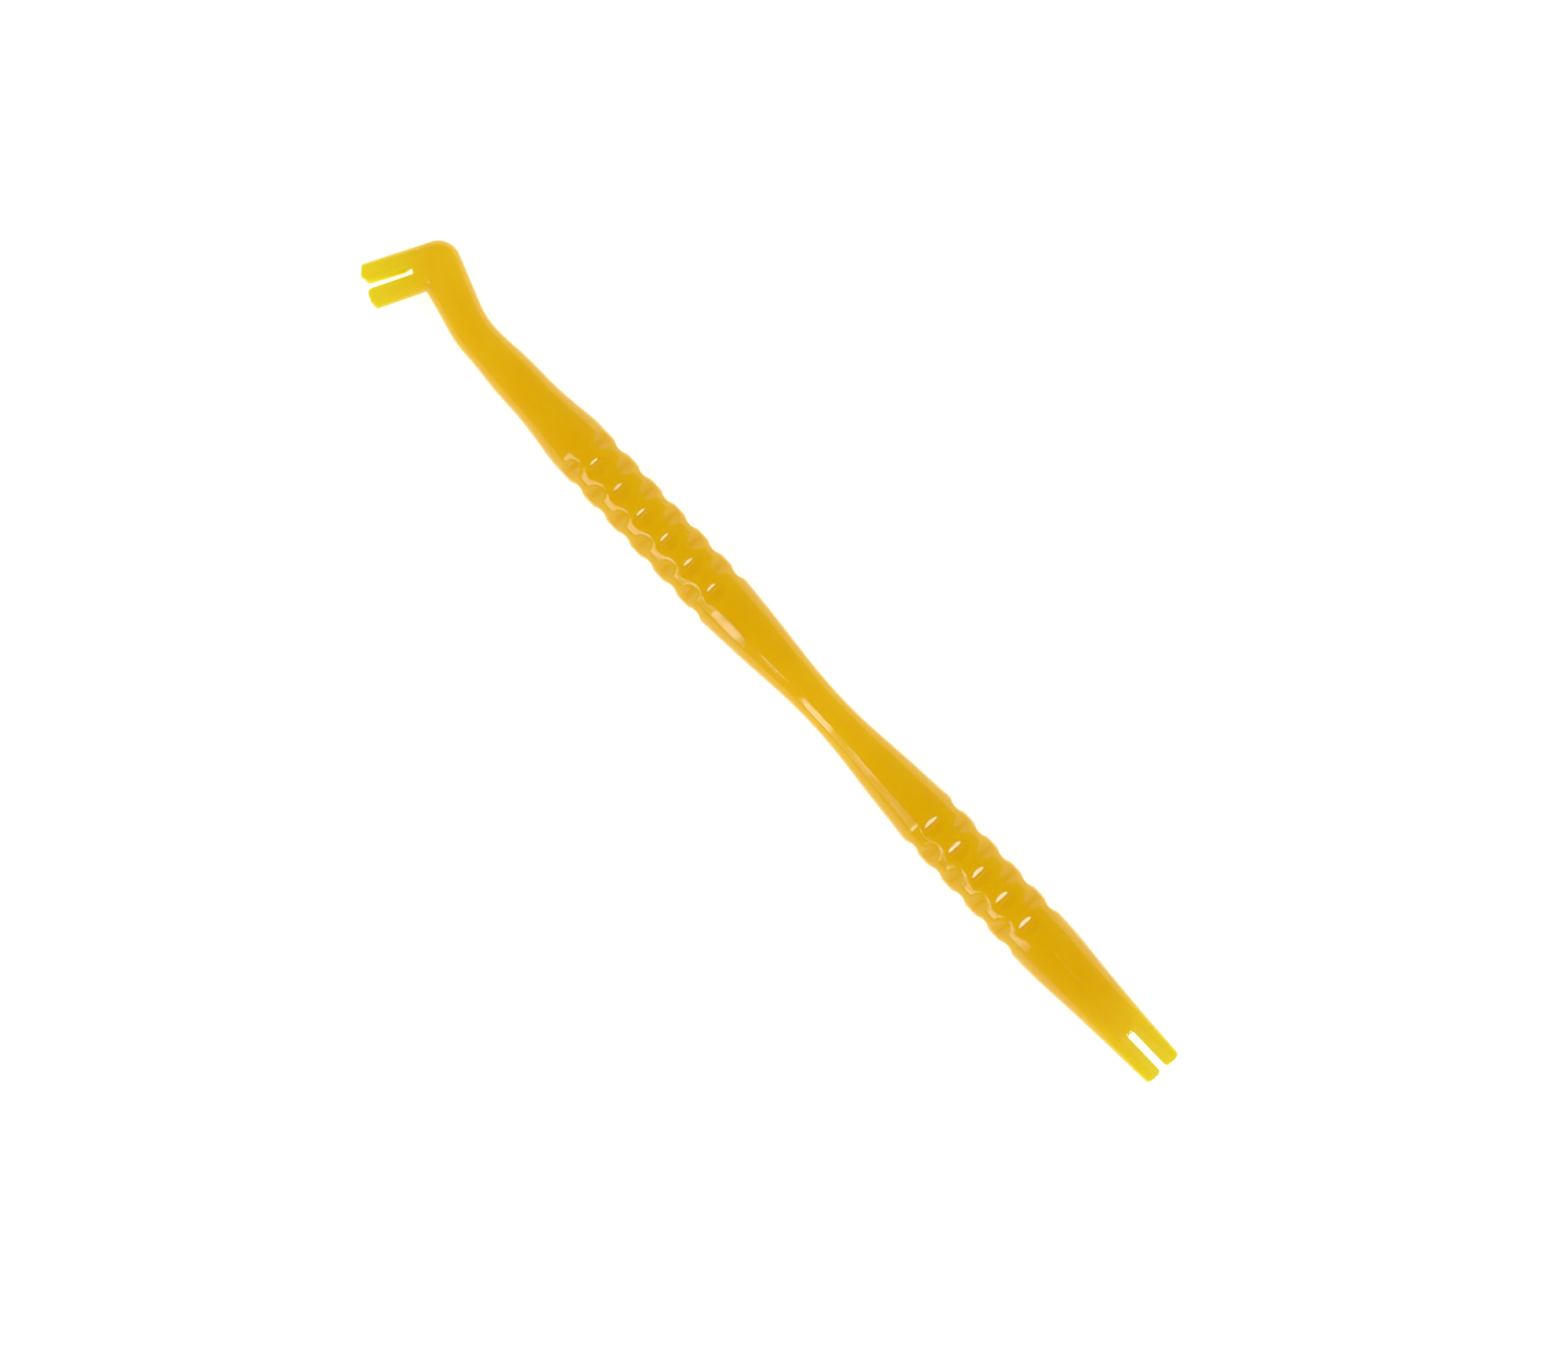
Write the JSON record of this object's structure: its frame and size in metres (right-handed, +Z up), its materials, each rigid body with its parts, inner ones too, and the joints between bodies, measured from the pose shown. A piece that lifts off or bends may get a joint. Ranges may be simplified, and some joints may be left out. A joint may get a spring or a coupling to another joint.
{
  "type": "forked spudger",
  "caption": "Double-ended translucent plastic hand tool: a straight forked blade, a dimpled round handle with a narrow waist, and an angled forked blade on a bent neck.",
  "frame": {"origin": "under the middle of the tool's box, on the surface that it lies on", "axes": "+X along the handle towards the straight fork, +Z up, square to the plane that holds the handle, the bend and both forks; the angled fork points towards -Y"},
  "size_m": [0.1252, 0.0111, 0.007],
  "materials": {
    "amber_plastic": "smooth, glossy, translucent amber yellow"
  },
  "bodies": {
    "root": {"angled_fork_outer_tine": "amber_plastic", "angled_fork_inner_tine": "amber_plastic", "angled_fork_elbow": "amber_plastic", "neck": "amber_plastic", "angled_end_grip": "amber_plastic", "waist": "amber_plastic", "straight_end_grip": "amber_plastic", "straight_fork_root": "amber_plastic", "straight_fork_left_tine": "amber_plastic", "straight_fork_right_tine": "amber_plastic"}
  },
  "joints": []
}
